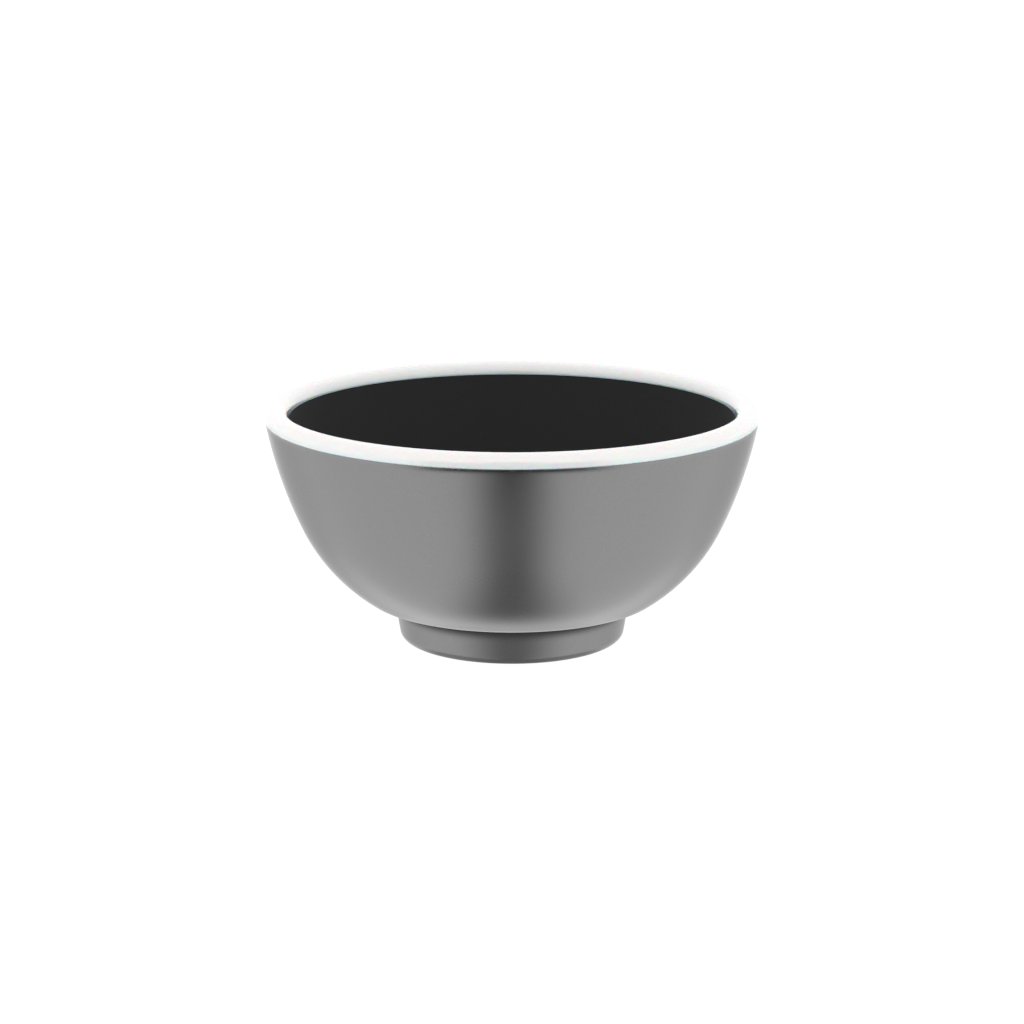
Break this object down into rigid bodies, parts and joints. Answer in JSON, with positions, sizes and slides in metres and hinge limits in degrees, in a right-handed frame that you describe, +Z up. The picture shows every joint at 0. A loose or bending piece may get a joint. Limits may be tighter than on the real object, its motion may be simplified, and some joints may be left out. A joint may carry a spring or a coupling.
{
  "type": "footed dip bowl",
  "caption": "Round footed dip bowl with a satin grey outer shell, a white rounded rim, a matt charcoal inside and a soft ring under the foot.",
  "frame": {"origin": "on the ground under the bowl's axis, at the underside of the non-slip ring", "axes": "+Z up along the axis the bowl is turned about; every piece is round, so X and Y are equal"},
  "size_m": [0.12, 0.12, 0.0589],
  "materials": {
    "satin_grey": "satin metallic-grey moulded plastic, smooth, with soft broad reflections",
    "gloss_white": "glossy white moulded plastic",
    "matt_charcoal": "matt charcoal moulded plastic with a fine even texture",
    "grip_rubber": "matt dark soft rubber"
  },
  "bodies": {
    "root": {"outer_shell": "satin_grey", "foot_ring": "satin_grey", "rim_ring": "gloss_white", "inner_bowl": "matt_charcoal", "non_slip_ring": "grip_rubber"}
  },
  "joints": []
}
